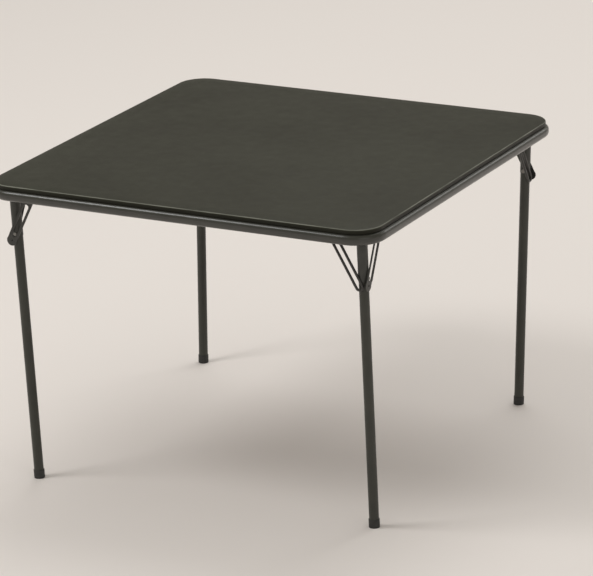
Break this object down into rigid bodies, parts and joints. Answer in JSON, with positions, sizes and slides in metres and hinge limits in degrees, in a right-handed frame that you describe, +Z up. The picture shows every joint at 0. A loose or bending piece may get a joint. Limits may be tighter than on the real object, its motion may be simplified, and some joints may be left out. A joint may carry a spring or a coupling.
{
  "type": "folding card table",
  "caption": "Square folding card table with a padded vinyl top in a rolled steel rim, on round tube legs with wire struts and slotted lock braces.",
  "frame": {"origin": "centre of the table's footprint, on the floor", "axes": "+Z up, +X and +Y along the sides of the square top; the front leg is at +X, -Y"},
  "size_m": [0.978, 0.978, 0.711],
  "materials": {
    "vinyl": "black grained vinyl sheet, satin",
    "foam": "pale cut foam sheet",
    "hardboard": "brown pressed hardboard",
    "rim_enamel": "black satin powder coat",
    "leg_enamel": "black satin powder coat",
    "strut_enamel": "black satin powder coat",
    "brace_enamel": "black satin powder coat",
    "bracket_enamel": "black satin powder coat",
    "plated_steel": "dull zinc plate",
    "foot_rubber": "black moulded rubber",
    "plug_plastic": "black moulded nylon"
  },
  "bodies": {
    "top": {"rim_frame": "rim_enamel", "vinyl_cover": "vinyl", "foam_pad": "foam", "top_panel": "hardboard", "panel_screws": "plated_steel", "axle_caps": "plated_steel", "brace_rivets": "plated_steel", "corner_gusset_front": "rim_enamel", "hinge_bracket_front": "bracket_enamel", "axle_hanger_front": "bracket_enamel", "hinge_axle_front": "plated_steel", "corner_gusset_right": "rim_enamel", "hinge_bracket_right": "bracket_enamel", "axle_hanger_right": "bracket_enamel", "hinge_axle_right": "plated_steel", "corner_gusset_back": "rim_enamel", "hinge_bracket_back": "bracket_enamel", "axle_hanger_back": "bracket_enamel", "hinge_axle_back": "plated_steel", "corner_gusset_left": "rim_enamel", "hinge_bracket_left": "bracket_enamel", "axle_hanger_left": "bracket_enamel", "hinge_axle_left": "plated_steel"},
    "leg_front": {"leg_tube_front": "leg_enamel", "leg_collar_front": "bracket_enamel", "leg_plug_front": "plug_plastic", "foot_tip_front": "foot_rubber", "side_strut_front": "strut_enamel", "lock_stud_front": "plated_steel"},
    "brace_front": {"lock_brace_front": "brace_enamel"},
    "leg_right": {"leg_tube_right": "leg_enamel", "leg_collar_right": "bracket_enamel", "leg_plug_right": "plug_plastic", "foot_tip_right": "foot_rubber", "side_strut_right": "strut_enamel", "lock_stud_right": "plated_steel"},
    "brace_right": {"lock_brace_right": "brace_enamel"},
    "leg_back": {"leg_tube_back": "leg_enamel", "leg_collar_back": "bracket_enamel", "leg_plug_back": "plug_plastic", "foot_tip_back": "foot_rubber", "side_strut_back": "strut_enamel", "lock_stud_back": "plated_steel"},
    "brace_back": {"lock_brace_back": "brace_enamel"},
    "leg_left": {"leg_tube_left": "leg_enamel", "leg_collar_left": "bracket_enamel", "leg_plug_left": "plug_plastic", "foot_tip_left": "foot_rubber", "side_strut_left": "strut_enamel", "lock_stud_left": "plated_steel"},
    "brace_left": {"lock_brace_left": "brace_enamel"}
  },
  "joints": [
    {"name": "leg_fold_front", "type": "hinge", "parent": "top", "child": "leg_front", "pos_m": [0.436, -0.4305, 0.678], "axis": [1, 0, 0], "range_deg": [0, 87.7]},
    {"name": "brace_turn_front", "type": "hinge", "parent": "top", "child": "brace_front", "pos_m": [0.4508, -0.3785, 0.68], "axis": [1, 0, 0], "range_deg": [0, 114.08]},
    {"name": "leg_fold_right", "type": "hinge", "parent": "top", "child": "leg_right", "pos_m": [0.4305, 0.436, 0.678], "axis": [0, 1, 0], "range_deg": [0, 87.7]},
    {"name": "brace_turn_right", "type": "hinge", "parent": "top", "child": "brace_right", "pos_m": [0.3785, 0.4508, 0.68], "axis": [0, 1, 0], "range_deg": [0, 114.08]},
    {"name": "leg_fold_back", "type": "hinge", "parent": "top", "child": "leg_back", "pos_m": [-0.436, 0.4305, 0.678], "axis": [-1, 0, 0], "range_deg": [0, 87.7]},
    {"name": "brace_turn_back", "type": "hinge", "parent": "top", "child": "brace_back", "pos_m": [-0.4508, 0.3785, 0.68], "axis": [-1, 0, 0], "range_deg": [0, 114.08]},
    {"name": "leg_fold_left", "type": "hinge", "parent": "top", "child": "leg_left", "pos_m": [-0.4305, -0.436, 0.678], "axis": [0, -1, 0], "range_deg": [0, 87.7]},
    {"name": "brace_turn_left", "type": "hinge", "parent": "top", "child": "brace_left", "pos_m": [-0.3785, -0.4508, 0.68], "axis": [0, -1, 0], "range_deg": [0, 114.08]}
  ],
  "couplings": [
    {"joint": "brace_turn_front", "follows": "leg_fold_front", "ratio": 1.3002},
    {"joint": "brace_turn_right", "follows": "leg_fold_right", "ratio": 1.3002},
    {"joint": "brace_turn_back", "follows": "leg_fold_back", "ratio": 1.3002},
    {"joint": "brace_turn_left", "follows": "leg_fold_left", "ratio": 1.3002}
  ]
}
